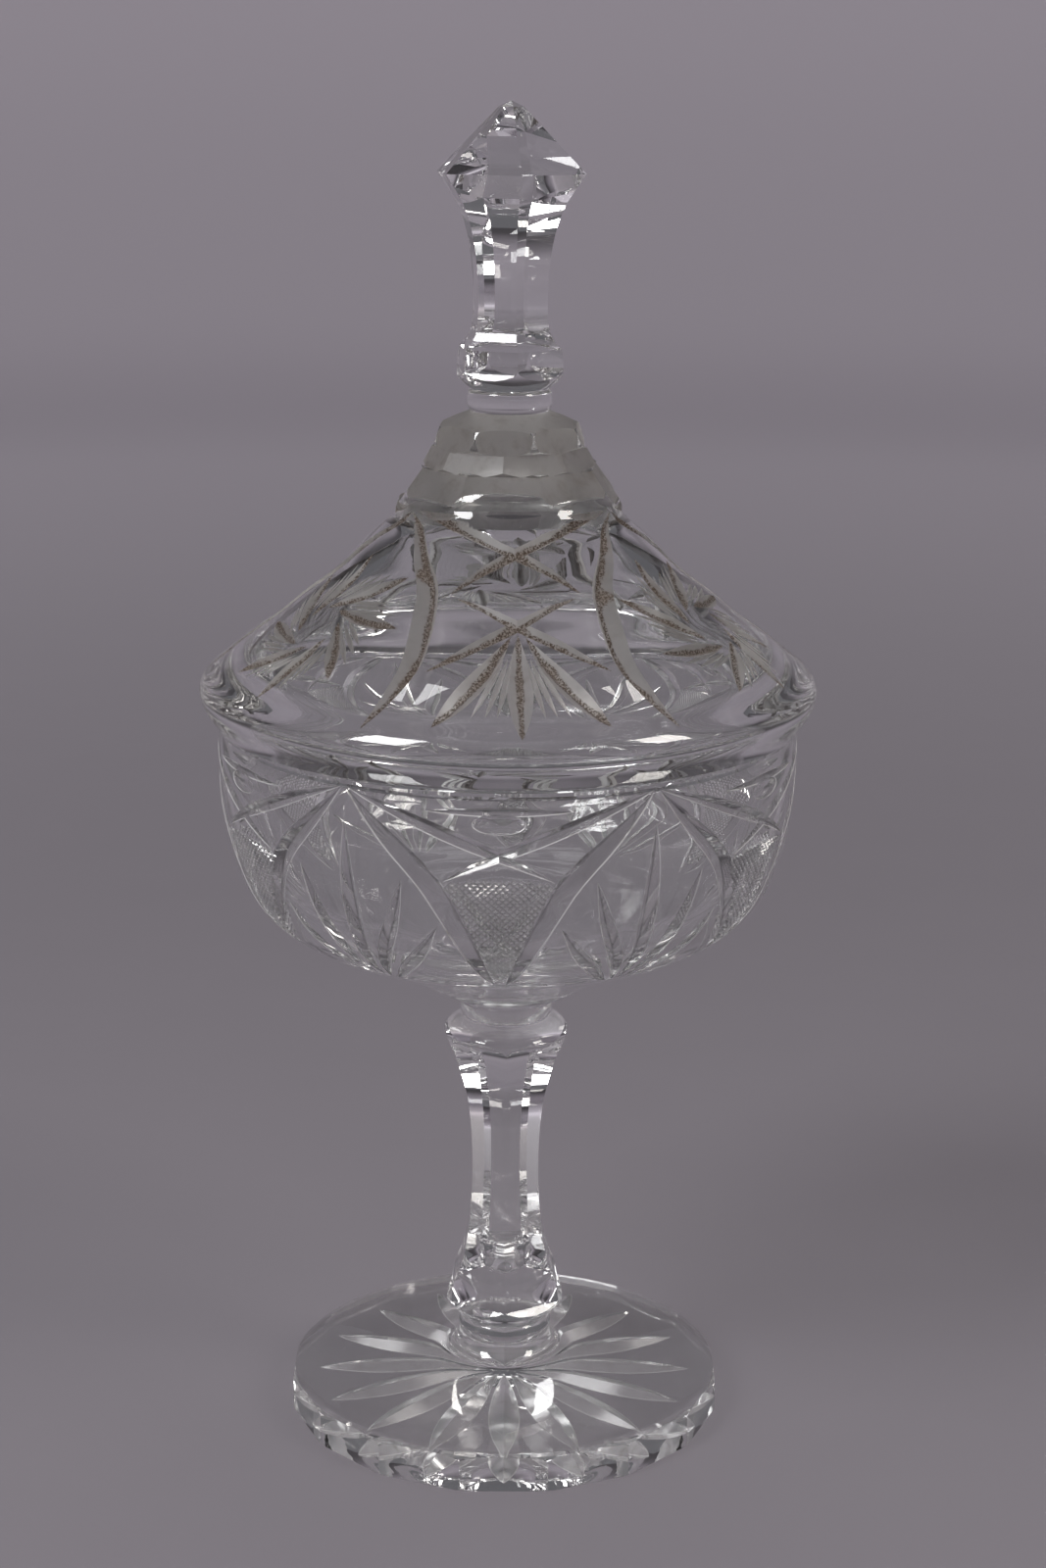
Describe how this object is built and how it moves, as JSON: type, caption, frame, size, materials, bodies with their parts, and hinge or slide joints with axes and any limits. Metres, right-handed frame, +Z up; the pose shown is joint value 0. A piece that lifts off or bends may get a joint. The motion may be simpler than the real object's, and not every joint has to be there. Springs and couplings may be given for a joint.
{
  "type": "covered compote",
  "caption": "Covered compote of colourless cut crystal: a deep bowl on a faceted stem and panelled foot, with a lift-off domed cover and a pointed finial.",
  "frame": {"origin": "on the axis, on the flat underside of the foot, where it stands on the table", "axes": "+Z up the axis of the bowl and stem, -Y towards the front panel that the picture shows, +X to the right seen from the front"},
  "size_m": [0.165, 0.165, 0.36],
  "materials": {
    "clear_crystal": "clear polished lead crystal",
    "cut_crystal": "clear lead crystal, its wheel cuts left grey and unpolished"
  },
  "bodies": {
    "base": {"foot": "clear_crystal", "foot_collar": "clear_crystal", "stem": "clear_crystal", "bowl_collar": "clear_crystal", "bowl": "clear_crystal"},
    "lid": {"cover": "cut_crystal", "cover_collar": "clear_crystal", "finial": "clear_crystal"}
  },
  "joints": [
    {"name": "cover_lift", "type": "slide", "parent": "base", "child": "lid", "axis": [0, 0, 1], "range_m": [0, 0.2]}
  ]
}
